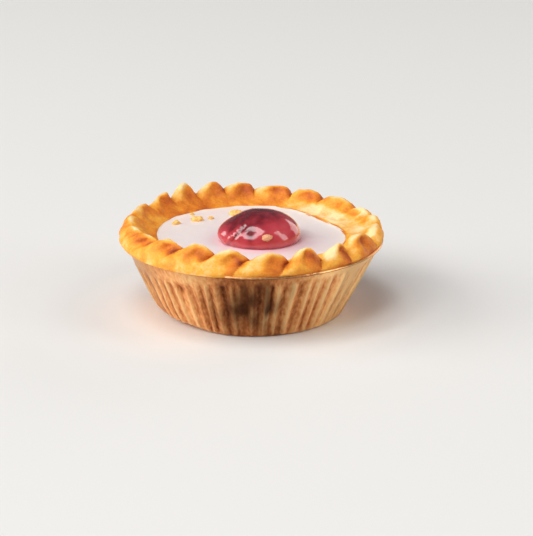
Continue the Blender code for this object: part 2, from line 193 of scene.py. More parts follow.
# Copper-gold lacquered aluminium foil: drawn thin and pressed into pleats, so its satin shine runs up the
# wall in streaks. Azimuths are in degrees, 0 at the right and 270 in front.
foil = {
    "flutes": 56,
    "fluteDepth": 0.42,  # mm each way
    "drift": ((3, 1.5, 0.6), (7, 1.1, 2.1), (13, 0.9, 0.0)),  # waves that make the pleats uneven in width
    "foldDepth": 0.76,
    "foldWaves": ((5, 0.16, 1.0), (13, 0.18, 0.4)),  # and in depth
    "creases": ((0.40, 1.0, 3), (0.26, 0.45, 4)),  # how strong, mm apart, noise number
    "bands": (0.26, 3.4, 9),
    "thickness": 0.5,
    "baseRadius": 23.4,
    "footRadius": 24.6,  # of the wall where it meets the base's corner
    "topRadius": 32.9,  # and just under the bead
    "columns": 14,  # for each flute
    "wallRows": 60,
    "collar": (15.2, 17.4),  # the pleats fade out between these heights, under the bead
    "beadRadius": 0.32,
    "beadWaves": ((9, 0.05, 0.0), (23, 0.04, math.radians(40))),
    "beadRaised": 0.5,  # under the pastry's lip
    "nicks": ((-64.0, 0.5, 1.3), (-102.0, 0.35, 1.0)),  # azimuth, depth in mm, width in degrees
    "baseSunk": 0.25,
    # the lower left is pressed in and rounded: azimuth and degrees to each side, then rows of height, reach
    # and how far out in mm, how far the base's edge is lifted, and how much flatter the pleats are
    "slack": (212.0, 55.0),
    "slackPressed": ((0.2, 1.4, -1.1), (6.0, 3.0, 0.35)),
    "slackLifted": 0.9,
    "slackFlatter": 0.35,
    "paintedFrontShade": (270.0, 19.0, 9.8, 8.6),  # painted shade at the front of the case: azimuth and degrees across, height and mm high
    "dent": (235.0, 13.0, 5.0, 1.4, 0.5),  # azimuth, height, degrees wide, mm high and mm deep
    "tone": 0.48,  # along the colours below, painted shade in the creases 0 to painted highlight 1
    "dentShade": -0.6,  # painted shade, added for each mm of the dent
    "beadLitAndShaded": (0.85, 0.2),  # painted highlight outside and above, painted shade underneath
    "sheenAndShade": (  # painted sheen and painted shade on the sides of the case: azimuth, degrees to each side, added tone
        (210.0, 65.0, 0.26),
        (243.0, 16.0, 0.20),
        (266.0, 26.0, -0.12),
        (316.0, 54.0, 0.38),
        (330.0, 24.0, 0.22),
    ),
    "collarSheen": (320.0, 42.0, 0.2),
    "collarHeights": (16.4, 17.4),
    "bright": "#FFD294",
    "lit": "#EEAA6C",
    "copper": "#CA7E4A",
    "creaseShade": "#6E3619",
    "frontShadeColour": "#3A1C0F",  # the painted shade at the front of the case
}


def wallRadius(height):
    # straight from the foot's radius to the one under the bead
    share = (height - 1.4) / 16.6
    return foil["footRadius"] + (foil["topRadius"] - foil["footRadius"]) * share


def lean(height):
    # the base's shift, less and less up to the rim
    return tart["baseShift"] * (1 - np.clip(height / tart["rimHeight"], 0, 1))


def flutePhase(turn):
    # pleats * turn + drift
    return foil["flutes"] * turn + waves(turn, foil["drift"])


def fluteColumns():
    # azimuths in degrees with the same number of columns on every pleat, from the phase read backwards
    fine = np.linspace(0, 2 * np.pi, 8001)
    phase = flutePhase(fine)
    steps = np.arange(foil["flutes"] * foil["columns"]) * 2 * np.pi / foil["columns"]
    return np.degrees(np.interp(phase[0] + steps, phase, fine))


def flutePleat(azimuth, height):
    # folds 1 - |sin|, sharp outside and round inside, uneven in depth, with thin streaks of noise that also
    # paint the tone lighter where they push out; the tone is a painted highlight, a thin bright line, fold^3,
    # on each and painted shade, -|sin|^6, between them, in broad bands of noise
    turn = np.radians(azimuth)
    wander = 0.5 * np.sin(0.2 * height + 4 * np.sin(5 * turn)) * (1 - height / 40)
    depth = foil["foldDepth"] + waves(turn, foil["foldWaves"])
    between = np.abs(np.sin((flutePhase(turn) + wander) / 2))
    place = np.stack([30 * np.cos(turn), 30 * np.sin(turn), height * 0.06 * np.ones_like(turn)], axis=-1)
    creases = sum(strength * softNoise(place, cell, seed) for strength, cell, seed in foil["creases"])
    strength, cell, seed = foil["bands"]
    bands = strength * softNoise(place, cell, seed)
    relief = depth * (1.2 - 2 * between) + creases
    tone = depth * (0.6 * (1 - between) ** 3 - 0.4 * between**6) + 0.6 * creases + bands
    return relief, tone


def foilDent(azimuth, height):
    # an oval hollow, deep * exp(-(across / wide)^2) * exp(-(up / high)^2)
    place, level, wide, high, deep = foil["dent"]
    return deep * bell((azimuth - place + 180) % 360 - 180, 0, wide) * bell(height, level, high)


def beadHidden(azimuth):
    # 1 where the pastry's lip covers the bead, at the left, else 0, as a steep hump cut off at 1
    return np.minimum(1, 8 * hump(azimuth, pastry["lipAzimuth"], pastry["lipCovers"]))


def makeFoilMaterial():
    material, tree, shader, place = newMaterial(
        "copper_lacquered_foil",
        {"Metallic": 1.0, "Roughness": 0.4, "Anisotropic": 0.95, "Anisotropic Rotation": 0.25},
    )
    # the tone holds painted highlight and painted shade on the pleats, sides, collar, bead and dent
    toneAndPaintedLight = addNode(tree, "ShaderNodeAttribute", {"attribute_name": "toneAndPaintedLight"}).outputs["Fac"]
    paintedFrontShade = addNode(tree, "ShaderNodeAttribute", {"attribute_name": "paintedFrontShade"}).outputs["Fac"]
    squeezed = addNode(tree, "ShaderNodeMapping", {"Scale": (1, 1, 0.05)}, {"Vector": place})
    streak = addNode(
        tree, "ShaderNodeTexNoise", {"Scale": 1 / (0.7 * mm), "Detail": 3.0}, {"Vector": squeezed.outputs[0]}
    )
    patch = addNode(tree, "ShaderNodeTexNoise", {"Scale": 1 / (7 * mm), "Detail": 3.0}, {"Vector": place})
    total = toneAndPaintedLight
    for noise, share in ((streak, 0.8), (patch, 0.5)):
        settings = {"operation": "MULTIPLY_ADD", 1: share}
        total = addNode(tree, "ShaderNodeMath", settings, {0: noise.outputs["Fac"], 2: total}).outputs[0]
    centred = addNode(tree, "ShaderNodeMath", {"operation": "SUBTRACT", 1: 0.66}, {0: total})
    shade = addNode(tree, "ShaderNodeValToRGB", links={"Fac": centred.outputs[0]})
    # from painted shade in the creases up to painted highlight on the folds
    stops = [(0.06, "creaseShade"), (0.42, "copper"), (0.68, "lit"), (1.0, "bright")]
    setRamp(shade, [(position, foil[name]) for position, name in stops])
    # the painted shade at the front of the case mixes in its dark colour
    tinted = addNode(
        tree,
        "ShaderNodeMix",
        {"data_type": "RGBA", 7: toLinear(foil["frontShadeColour"])},
        {0: paintedFrontShade, 6: shade.outputs["Color"]},
    )
    tree.links.new(tinted.outputs[2], shader.inputs["Base Color"])
    around = addNode(tree, "ShaderNodeTangent", {"direction_type": "RADIAL", "axis": "Z"})
    tree.links.new(around.outputs["Tangent"], shader.inputs["Tangent"])
    bump = addNode(
        tree, "ShaderNodeBump", {"Strength": 0.5, "Distance": 0.12 * mm}, {"Height": streak.outputs["Fac"]}
    )
    tree.links.new(bump.outputs["Normal"], shader.inputs["Normal"])
    return material


def makeFoilCase():
    azimuth = fluteColumns()
    top, rim, base = tart["rimHeight"], tart["rimRadius"], foil["baseRadius"]
    slack = hump(azimuth, *foil["slack"])
    sheenAndShade = spots(azimuth, foil["sheenAndShade"])
    collarSheen = spots(azimuth, [foil["collarSheen"]])
    made = []

    def hoop(radius, height, pleats=0.0, sunk=0.0):
        # a ring of the wall or the base, in and out by the pleats, the dent and the pressed-in lower left
        relief, tone = flutePleat(azimuth, height)
        pleats = pleats * (1 - foil["slackFlatter"] * slack)
        pressed = foilDent(azimuth, height) * (pleats > 0)
        edge = radius + foil["fluteDepth"] * pleats * relief - pressed
        for level, reach, out in foil["slackPressed"]:
            edge = edge + out * slack * bell(height, level, reach)
        lifted = foil["slackLifted"] * slack * bell(radius, base + 0.6, 1.0) * (height < 1.2)
        ring = aroundAxis(edge, azimuth, height + sunk + lifted, lean(height))
        collar = collarSheen * smoothStep(height, *foil["collarHeights"])
        # painted sheen and shade on the sides and collar, painted highlight and shade on the pleats, painted
        # shade in the dent
        made.append((ring, foil["tone"] + sheenAndShade + collar + pleats * tone + foil["dentShade"] * pressed))

    def bead(angle):
        # a ring of the rolled bead, thick cos angle out and thick sin angle up from its middle
        thick = foil["beadRadius"]
        nick = sum(depth * bell(azimuth, place % 360, width) for place, depth, width in foil["nicks"])
        wobble = waves(np.radians(azimuth), foil["beadWaves"])
        out = rim - thick + (thick + wobble) * math.cos(angle) - nick
        raised = foil["beadRaised"] * beadHidden(azimuth)
        ring = aroundAxis(out, azimuth, top - thick + thick * math.sin(angle) - 0.4 * nick + raised)
        # painted highlight on the bead's outside and top, painted shade under it
        outside, underneath = foil["beadLitAndShaded"]
        made.append((ring, outside if angle > -0.2 else underneath))

    for radius in (6.0, 12.0, 18.0, base - 2.9):
        hoop(radius, 0.0, sunk=foil["baseSunk"])
    for radius in (base - 2.3, base - 1.4):  # the base stands on this
        hoop(radius, 0.0)
    # its rounded corner, the wall, the bead, and back down inside
    for radius, height, pleats in ((0, 0.02, 0.1), (0.45, 0.15, 0.25), (0.8, 0.5, 0.5), (1.1, 1.0, 0.65)):
        hoop(base + radius, height, pleats)
    low, high = foil["collar"]
    for height in np.linspace(1.5, top - 1.0, foil["wallRows"]):
        fade = 1 - smoothStep(height + 2.5 * slack, low, high)
        hoop(wallRadius(height), height, (0.75 + 0.25 * math.sin(math.pi * height / 17)) * fade)
    for angle in np.radians([-90, -60, -30, 0, 25, 50, 75, 100, 130, 160]):
        bead(angle)
    for height in np.linspace(top - 1.2, 1.6, 5):
        hoop(wallRadius(height) - foil["thickness"], height, 0.4)
    hoop(base - 0.3, foil["thickness"])
    points = np.stack([ring for ring, tone in made])
    tones = np.stack([np.broadcast_to(tone, azimuth.shape) for ring, tone in made])
    # painted shade at the front of the case, ragged up the wall
    place, wide, level, high = foil["paintedFrontShade"]
    ragged = 0.5 * softNoise(points * np.array([1, 1, 0.25]), 2.0, 6)  # drawn out up the wall
    paintedFrontShade = bell(azimuth, place, wide) * bell(points[..., 2], level, high) * (0.87 + ragged)
    middle = tart["baseShift"]
    piece = closedSurface(
        "fluted_foil_case",
        points,
        (middle, 0, foil["baseSunk"]),
        (middle, 0, foil["thickness"]),
        makeFoilMaterial(),
        {"toneAndPaintedLight": tones, "paintedFrontShade": np.clip(paintedFrontShade, 0, 0.93)},
    )
    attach(piece, "root")
    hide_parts("foil_case")


# Shortcrust pastry, pressed by fingers and baked: matt and grainy, with painted highlight on the crests,
# browner in the dents, partly from baking and partly as painted shade
pastry = {
    "columns": 30,  # for each crimp
    "rimRows": 116,
    "sectionCrest": 30.6,  # both sections below have their crest at this radius
    "crimpRise": 5.6,
    "grooveRise": 2.2,
    "lipAzimuth": 205.0,
    "lipSpreads": 75.0,  # degrees to each side
    "lipCovers": 64.0,  # and where it covers the case's bead
    "lip": 0.45,  # it stands out this far, mm
    "lipTuck": 0.62,  # and this much more over the bead
    "lipDrop": 0.1,
    # under the crimps the lip is whole at the left: azimuth, degrees to each side, places up the section
    # between which it ends, and the crimps' share there
    "wholeLip": (218.0, 74.0),
    "wholeLipEnds": (0.15, 0.29),
    "wholeLipShare": 0.8,
    "melts": (0.60, 0.84),  # the crimps melt into an even slope between these places
    "meltedShare": 0.6,
    "twist": 8.0,  # slant of a groove on the outside, degrees
    "twistAzimuth": 235.0,
    # thumb dents: depth in mm, place up the section, reach up, place across the crimp, reach across
    "dentOutside": (1.6, 0.27, 0.11, 0.72, 0.15),
    "dentMoves": ((333.0, 16.0, -0.2), (297.0, 10.0, -0.18)),  # azimuth, degrees to each side, across
    "dentInside": (1.0, 0.66, 0.12, 0.5, 0.2),
    "dentInsideMoves": 0.16,  # towards the crimp's left
    "ridge": (0.5, 0.62, 0.12, 0.5, 0.14),
    "ridgeMoves": 0.24,
    # grooves are pinched in further: place up the section, reach, mm; then place across the crimp, reach
    "nipUp": ((0.30, 0.13, 1.0), (0.60, 0.09, -0.8)),
    "nipAcross": ((0.0, 0.10), (1.0, 0.07)),
    "lumps": ((0.30, 2.8, 1), (0.15, 1.3, 2), (0.07, 0.6, 5)),  # mm high, mm apart, noise number
    # how brown it is baked, with painted highlight and painted shade added, 0 to 1 along the colours below
    "baked": 0.37,
    "dentsBakedAndShaded": (0.09, 0.16),  # added in the dents outside and inside, partly baking and partly painted shade
    "crestHighlight": (0.49, 0.09, -0.34),  # painted highlight on the crests: place up the section, reach, how much
    # painted shade in the pinched grooves: place up the section, reach, how much
    "nipShade": (0.4, 0.24, 0.34),
    "rightSideShade": (0.32, 0.42),  # painted shade on the right side of each crimp against its left, and the level between them
    "bakedMottle": ((0.14, 5.0, 7), (0.08, 1.8, 8)),
    "bakedLedge": ((0.70, 0.82, -0.30), (0.955, 0.985, 0.45)),  # places up the section, how much from there
    # painted light and shade over wide stretches, paler at the front and left, darker at the right and on the
    # inside behind: azimuth, degrees to each side, places up the section, how much below and above them
    "litAndShadedStretches": (
        (220.0, 72.0, 0.14, 0.26, -0.12, 0.0),
        (268.0, 40.0, 0.36, 0.50, -0.08, 0.0),
        (322.0, 45.0, 0.30, 0.50, 0.08, 0.0),
        (120.0, 75.0, 0.55, 0.75, 0.0, 0.20),
    ),
    # patches, some baked spots and some painted highlight on flanks and ridges (less brown) and painted
    # shade in valleys and on flanks (browner): azimuth, degrees to each side, place up the section, reach,
    # how much browner
    "spotsAndPaintedLight": (
        (309.0, 8.0, 0.40, 0.20, -0.42),
        (2.0, 16.0, 0.60, 0.20, -0.24),
        (329.0, 9.0, 0.34, 0.12, 0.32),
        (343.5, 5.0, 0.27, 0.14, -0.24),
        (264.4, 4.5, 0.29, 0.07, 0.34),
        (281.0, 7.0, 0.22, 0.12, 0.16),
        (298.0, 5.5, 0.27, 0.11, 0.28),
        (316.5, 4.5, 0.28, 0.14, 0.24),
        (320.0, 5.0, 0.35, 0.20, -0.40),
        (344.0, 8.0, 0.48, 0.14, -0.40),
        (110.0, 7.0, 0.46, 0.12, 0.32),
        (127.0, 8.0, 0.53, 0.16, -0.26),
        (128.0, 8.0, 0.66, 0.09, -0.14),
        (98.0, 9.0, 0.64, 0.14, 0.12),
        (21.0, 9.0, 0.58, 0.14, -0.24),
        (52.0, 16.0, 0.46, 0.12, 0.14),
        (200.0, 6.0, 0.42, 0.07, 0.18),
        (207.0, 5.0, 0.30, 0.07, 0.20),
        (228.0, 7.0, 0.38, 0.10, 0.14),
        (243.0, 6.0, 0.33, 0.10, 0.08),
    ),
    "pale": "#FCDFA6",
    "gold": "#F4AE40",
    "amber": "#E28428",
    "orange": "#BA581C",
    "brownAndShade": "#742C10",
}
# One row for each crimp: azimuth where it starts, the groove's rise and the crimp's rise over the rim, radius
# of its crest in mm, where across it the peak stands, how pointed it is, and how deep its dents are
crimps = np.array([
    (5.0, 1.9, 3.4, 32.2, 0.50, 0.7, 0.6),
    (17.8, 1.7, 3.6, 31.7, 0.50, 0.7, 0.8),
    (30.5, 2.6, 4.3, 31.2, 0.55, 0.7, 0.7),
    (52.7, 2.6, 4.6, 31.0, 0.50, 0.55, 0.9),
    (70.2, 2.2, 5.0, 30.9, 0.36, 0.65, 0.9),
    (90.0, 3.3, 5.7, 30.9, 0.32, 0.6, 1.0),
    (105.4, 4.0, 6.3, 31.0, 0.38, 1.3, 0.8),
    (120.7, 3.5, 7.0, 31.3, 0.40, 1.3, 1.0),
    (136.4, 3.6, 5.8, 31.5, 0.24, 1.3, 0.8),
    (152.9, 3.5, 4.9, 31.8, 0.32, 0.9, 0.5),
    (170.0, 3.7, 4.3, 31.7, 0.50, 0.8, 0.2),
    (186.0, 3.5, 4.2, 30.5, 0.50, 0.8, 0.5),
    (201.0, 3.1, 4.6, 29.3, 0.50, 0.8, 1.0),
    (216.8, 3.3, 5.3, 28.7, 0.48, 0.8, 1.1),
    (234.3, 3.5, 5.8, 28.7, 0.50, 0.8, 0.8),
    (252.4, 3.0, 5.3, 29.2, 0.50, 0.8, 1.0),
    (269.0, 2.7, 4.8, 29.6, 0.54, 0.9, 0.7),
    (288.1, 1.8, 5.3, 29.8, 0.50, 1.0, 1.2),
    (305.3, 1.3, 4.7, 30.0, 0.60, 0.9, 0.8),
    (321.2, 1.4, 4.9, 30.4, 0.42, 0.8, 1.2),
    (343.4, 1.5, 3.9, 31.8, 0.50, 0.7, 0.9),
])
# Sections of the rim, radius and rise in mm: from its outer foot up to the crest, then inwards to the icing
crimpSection = np.array(
    [(33.45, -0.2), (33.9, 1.2), (33.5, 2.9), (32.6, 4.4), (31.6, 5.35), (30.6, 5.6)]
    + [(29.6, 5.1), (28.8, 3.9), (27.9, 2.6), (26.7, 1.5), (25.1, 0.8)]
)
grooveSection = np.array(
    [(33.4, -0.2), (33.45, 0.8), (33.0, 1.5), (32.3, 2.0), (31.5, 2.2), (30.6, 2.2)]
    + [(29.6, 2.0), (28.6, 1.7), (27.5, 1.35), (26.4, 1.05), (25.1, 0.8)]
)
# From the crest inwards on the side where the pastry is thick, with a flat ledge beside the icing
ledgeSection = crimpSection.copy()
ledgeSection[5:] = ((30.6, 5.6), (29.9, 4.9), (29.3, 3.4), (28.7, 2.0), (27.6, 1.2), (25.1, 0.8))
ledgeSpan = (-12.0, 6.0, 56.0, 74.0)  # azimuths where it fades in and out
crestRow = 5
lastRow = len(crimpSection) - 1


def alongSection(section, row):
    # a smooth curve through the section's points: between each pair a cubic with slopes from its neighbours
    whole = np.clip(np.floor(row).astype(int), 0, lastRow - 1)
    t = (row - whole)[..., None]
    before, after = section[np.maximum(whole - 1, 0)], section[np.minimum(whole + 2, lastRow)]
    here, there = section[whole], section[whole + 1]
    slopeHere, slopeThere = (there - before) / 2, (after - here) / 2
    curve = (2 * t**3 - 3 * t**2 + 1) * here + (t**3 - 2 * t**2 + t) * slopeHere
    curve += (3 * t**2 - 2 * t**3) * there + (t**3 - t**2) * slopeThere
    return curve[..., 0], curve[..., 1]


def crimpAt(azimuth):
    # the groove's rise, the crimp's rise and the crest's radius in mm, the place across the crimp, its share,
    # sin(pi bent)^pointed, where bending the place moves the peak, and how deep its dents are
    starts = np.append(crimps[:, 0], crimps[0, 0] + 360)
    turn = (azimuth - starts[0]) % 360 + starts[0]
    which = np.clip(np.searchsorted(starts, turn, side="right") - 1, 0, len(crimps) - 1)
    before, after = (which - 1) % len(crimps), (which + 1) % len(crimps)
    across = (turn - starts[which]) / (starts[which + 1] - starts[which])
    groove = crimps[which, 1] + (crimps[after, 1] - crimps[which, 1]) * across
    bent = np.clip(across, 0, 1) ** (math.log(0.5) / np.log(crimps[which, 4]))
    share = np.sin(np.pi * bent) ** crimps[which, 5]
    edgeBefore = (crimps[before, 3] + crimps[which, 3]) / 2
    edgeAfter = (crimps[which, 3] + crimps[after, 3]) / 2
    crest = edgeBefore + (edgeAfter - edgeBefore) * across
    crest = crest + (crimps[which, 3] - (edgeBefore + edgeAfter) / 2) * np.sin(np.pi * across)
    return groove, crimps[which, 2], crest, across, share, crimps[which, 6]


def icingOutline(azimuth):
    # radius of the icing's edge, less on the side where the pastry is thick
    ripple = waves(np.radians(azimuth), icing["ripple"])
    return tart["icingRadius"] - tart["thickSide"] * hump(azimuth, tart["thickAzimuth"], 60) + ripple


def ledgeShare(azimuth):
    # 1 on the side with the ledge, eased to 0 past both its ends
    turn = (azimuth + 180) % 360 - 180
    fadeIn, full, fadeOut, gone = ledgeSpan
    return smoothStep(turn, fadeIn, full) * (1 - smoothStep(turn, fadeOut, gone))


def rimSurface(row, azimuth):
    # groove section + (crimp section - groove section) * share, each stretched to its own rise and crest;
    # row counts up the section's points, and v is its place from the outer foot, 0, to the icing, 1
    down = np.clip(1 - row / crestRow, 0, 1)
    slant = pastry["twist"] * (0.5 + 0.5 * np.cos(np.radians(azimuth - pastry["twistAzimuth"])))
    groove, rise, crest, across, share, deep = crimpAt(azimuth + slant * down)
    v = row / lastRow
    melted = smoothStep(v, *pastry["melts"])
    share = share + (pastry["meltedShare"] - share) * melted
    whole = np.minimum(1, 1.4 * hump(azimuth, *pastry["wholeLip"]))
    whole = whole * (1 - smoothStep(v, *pastry["wholeLipEnds"]))
    share = share + (pastry["wholeLipShare"] - share) * whole
    outer = row <= crestRow
    outline = icingOutline(azimuth)

    def stretched(section, drawnRise, wantedRise):
        # heights over the foot times wanted / drawn; radii moved with the crest, and inside it fitted between
        # the crest and the icing
        radius, height = alongSection(section, row)
        foot = np.where(outer, section[0, 1], section[lastRow, 1])
        height = foot + (height - foot) * (wantedRise - foot) / (drawnRise - foot)
        reach = (crest - outline) / (pastry["sectionCrest"] - section[lastRow, 0])
        outside = radius + (crest - pastry["sectionCrest"]) * row / crestRow
        inside = crest + (radius - pastry["sectionCrest"]) * reach
        return np.where(outer, outside, inside), height

    crimpRadius, crimpHeight = stretched(crimpSection, pastry["crimpRise"], rise)
    ledgeRadius, ledgeHeight = stretched(ledgeSection, pastry["crimpRise"], rise)
    ledge = ledgeShare(azimuth)
    crimpRadius = crimpRadius + (ledgeRadius - crimpRadius) * ledge
    crimpHeight = crimpHeight + (ledgeHeight - crimpHeight) * ledge
    grooveRadius, grooveHeight = stretched(grooveSection, pastry["grooveRise"], groove)
    radius = grooveRadius + (crimpRadius - grooveRadius) * share
    height = grooveHeight + (crimpHeight - grooveHeight) * share
    side = np.sin(np.radians(azimuth))  # 1 behind, where the right side of a crimp is its start, -1 in front

    def pressed(name, moved):
        # an oval mark, as strong as the crimp's dents are deep, and the same in mm
        depth, level, high, place, wide = pastry[name]
        mark = deep * bell(v, level, high) * bell(across, place + moved, wide)
        return mark, depth * mark

    dentOutside, hollowOutside = pressed("dentOutside", spots(azimuth, pastry["dentMoves"]))
    dentInside, hollowInside = pressed("dentInside", -pastry["dentInsideMoves"] * side)
    ridgeHeight = pressed("ridge", pastry["ridgeMoves"] * side)[1]
    nip = sum(bell(across, place, reach) for place, reach in pastry["nipAcross"])
    nip = np.clip((rise - groove) / 2, 0, 1) * nip * (1 - whole)
    radius = radius - hollowOutside + hollowInside - ridgeHeight
    radius = radius - nip * sum(deeper * bell(v, level, reach) for level, reach, deeper in pastry["nipUp"])
    swell = np.maximum(0, 1 - np.abs(row - 1) / 3)
    lip = hump(azimuth, pastry["lipAzimuth"], pastry["lipSpreads"])
    hanging = beadHidden(azimuth) * bell(row, 0.2, 0.9)
    radius = radius + pastry["lip"] * swell * lip + pastry["lipTuck"] * hanging
    height = height - pastry["lipDrop"] * hanging
    # 1 on the right side of a crimp and -1 on its left, for the painted shade on its right
    rightSide = 2 * side * (0.5 - across) * (1 - melted) * (1 - whole)
    return radius, height, share, dentOutside, dentInside, nip * (1 - melted), rightSide


def bakedAndPaintedLight(v, turn, rim, share, dentOutside, dentInside, nip, rightSide):
    # a sum: more in the dents, partly baking and partly painted shade, more as painted shade in pinched
    # grooves and on right sides, less as painted highlight on the crests, then mottling by noise, the ledge,
    # the wide stretches of painted light and shade, and the patches of baked spots and painted light
    ledge = ledgeShare(turn)
    dentsOut, dentsIn = pastry["dentsBakedAndShaded"]
    brownAndShade = pastry["baked"] + dentsOut * dentOutside + dentsIn * dentInside
    # painted highlight on the crests and painted shade in the pinched grooves
    for name, where in (("crestHighlight", share), ("nipShade", nip)):
        level, reach, more = pastry[name]
        brownAndShade += more * where * bell(v, level, reach)
    # painted shade on the right side of each crimp
    more, between = pastry["rightSideShade"]
    brownAndShade += more * (smoothStep(rightSide, -0.7, 0.8) - between) * (1 - ledge)
    for strength, cell, seed in pastry["bakedMottle"]:
        brownAndShade += strength * softNoise(rim, cell, seed)
    for start, full, more in pastry["bakedLedge"]:
        brownAndShade += more * ledge * smoothStep(v, start, full)
    # painted light and shade over wide stretches
    for place, halfWidth, start, full, below, above in pastry["litAndShadedStretches"]:
        brownAndShade += hump(turn, place, halfWidth) * (below + (above - below) * smoothStep(v, start, full))
    # spots of baking, painted highlight and painted shade
    for place, halfWidth, level, high, more in pastry["spotsAndPaintedLight"]:
        brownAndShade += more * hump(turn, place, halfWidth) * bell(v, level, high)
    return brownAndShade


def makePastryMaterial():
    material, tree, shader, place = newMaterial(
        "baked_shortcrust_pastry",
        {
            "Specular IOR Level": 0.25,
            "Subsurface Weight": 0.12,
            "Subsurface Radius": (1.0, 0.5, 0.2),
            "Subsurface Scale": 1.2 * mm,
        },
    )
    # baked browning together with painted highlight and painted shade
    baked = addNode(tree, "ShaderNodeAttribute", {"attribute_name": "browningAndPaintedLight"}).outputs["Fac"]
    mottle = addNode(tree, "ShaderNodeTexNoise", {"Scale": 1 / (2.4 * mm), "Detail": 5.0}, {"Vector": place})
    speckle = addNode(tree, "ShaderNodeTexNoise", {"Scale": 1 / (0.5 * mm), "Detail": 3.0}, {"Vector": place})
    total = baked
    for noise, share in ((mottle, 0.5), (speckle, 0.26)):
        settings = {"operation": "MULTIPLY_ADD", 1: share}
        total = addNode(tree, "ShaderNodeMath", settings, {0: noise.outputs["Fac"], 2: total}).outputs[0]
    centred = addNode(tree, "ShaderNodeMath", {"operation": "SUBTRACT", 1: 0.36}, {0: total})
    colour = addNode(tree, "ShaderNodeValToRGB", links={"Fac": centred.outputs[0]})
    stops = [(0.0, "pale"), (0.28, "gold"), (0.5, "amber"), (0.76, "orange"), (1.0, "brownAndShade")]
    setRamp(colour, [(position, pastry[name]) for position, name in stops])
    tree.links.new(colour.outputs["Color"], shader.inputs["Base Color"])
    gloss = addNode(
        tree, "ShaderNodeMapRange", {"To Min": 0.42, "To Max": 0.7}, {"Value": speckle.outputs["Fac"]}
    )
    tree.links.new(gloss.outputs["Result"], shader.inputs["Roughness"])
    grain = addNode(tree, "ShaderNodeTexNoise", {"Scale": 1 / (0.32 * mm), "Detail": 3.0}, {"Vector": place})
    bump = addNode(
        tree, "ShaderNodeBump", {"Strength": 0.5, "Distance": 0.1 * mm}, {"Height": grain.outputs["Fac"]}
    )
    tree.links.new(bump.outputs["Normal"], shader.inputs["Normal"])
    return material


def makePastry():
    starts = crimps[:, 0]
    widths = np.diff(np.append(starts, starts[0] + 360))
    steps = np.arange(pastry["columns"]) / pastry["columns"]
    azimuth = (starts[:, None] + widths[:, None] * steps).ravel()
    rows = np.linspace(0, lastRow, pastry["rimRows"])
    row, turn = np.meshgrid(rows, azimuth, indexing="ij")
    radius, rise, *marks = rimSurface(row, turn)
    rim = aroundAxis(radius, turn, tart["rimHeight"] + rise)
    normal = gridNormals(rim)
    fade = smoothStep(row, 0.0, 0.8) * (1 - smoothStep(row, lastRow - 0.5, lastRow))
    lumps = sum(high * softNoise(rim, cell, seed) for high, cell, seed in pastry["lumps"])
    rim = rim + normal * (lumps * fade)[..., None]

    thin = foil["thickness"] + foil["fluteDepth"] + 0.3

    def side(height):
        # against the inside of the foil
        return aroundAxis(wallRadius(height) - thin, azimuth, height, lean(height))

    under = foil["thickness"] + 0.3
    body = [aroundAxis(foil["baseRadius"] - 1.2, azimuth, under, lean(0.0)), side(2.2), side(17.4)]
    neck = [aroundAxis(tart["rimRadius"] - 1.3, azimuth, tart["rimHeight"] - 0.6)]
    outline = icingOutline(azimuth)
    bedHeight = tart["rimHeight"] + tart["icingEdge"] - 1.6
    bed = [
        aroundAxis(outline - 0.4, azimuth, tart["rimHeight"] + 0.1),
        aroundAxis(outline - 0.7, azimuth, bedHeight),
    ]
    points = np.concatenate([np.stack(body + neck), rim, np.stack(bed)])

    # baked browning with painted highlight and painted shade
    brownAndShade = bakedAndPaintedLight(row / lastRow, turn, rim, *marks)
    hidden = np.full((1, len(azimuth)), 0.4)
    brownAndShade = np.concatenate([np.repeat(hidden, len(body + neck), 0), brownAndShade, np.repeat(hidden, len(bed), 0)])
    piece = closedSurface(
        "crimped_pastry_shell",
        points,
        (lean(0.0), 0, under),
        (0, 0, bedHeight),
        makePastryMaterial(),
        {"browningAndPaintedLight": brownAndShade},
    )
    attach(piece, "root")
    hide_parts("pastry_shell")


# Half a glace cherry: sugar-soaked flesh, so a wet glossy skin over deep translucent red
cherry = {
    "x": 1.9,
    "y": -5.6,
    "radius": 10.3,
    "foot": 9.2,  # radius of the cut face
    "height": 7.7,  # over the icing
    "sunk": 0.5,
    "columns": 260,
    "rows": 150,
    "equator": 0.22,  # share of the height at which it is widest
    # bulges and hollows of the side: azimuth, degrees to each side, share of the height, reach, and share of
    # the radius
    "bulges": ((195.0, 42.0, 0.42, 0.32, 0.09), (178.0, 80.0, 0.82, 0.26, -0.14)),
    "creases": (190.0, 60.0, 7, 0.03),  # azimuth, degrees to each side, times round, share of the radius
    "oval": 0.02,
    # folds over the stem end: mm from the middle across them, reach, height
    "folds": ((-5.65, 0.7, 0.30), (-4.1, 0.5, 0.16), (-7.4, 0.7, -0.15)),
    "foldRise": (0.95, 0.32),  # how much of the height, and of the way back, counts as up along them
    "foldFade": ((1.5, 4.5), (-3.0, 1.0)),  # mm to the left and to the front between which they set in
    "foldCreases": (-5.65, 0.9, 0.05, 5.7),  # the last is how close they stand, radians for each mm
    "foldShades": ((-4.85, 0.4, 0.6), (-7.2, 0.6, 0.4)),  # painted shade in the grooves by the folds: place, reach, how much deeper in colour
    "lumps": ((0.12, 4.5, 11), (0.04, 1.6, 12)),  # mm high, mm apart, noise number
    "tip": (-10.6, 1.6, 0.5),  # light comes through it: mm from the middle, reach, how much
    "highlightDarkMiddle": (-2.3, -8.9, 1.3, 0.9),  # painted dark middle of the ring-shaped highlight: mm from the middle both ways, reach, how much
    "bright": "#C64852",
    "skin": "#B43844",
    "deep": "#68121E",
}


def icingTop(x, y):
    # rim + edge + dome (1 - (r / radius)^2)
    share = np.clip((x**2 + y**2) / tart["icingRadius"] ** 2, 0, 1)
    return tart["rimHeight"] + tart["icingEdge"] + tart["icingDome"] * (1 - share)


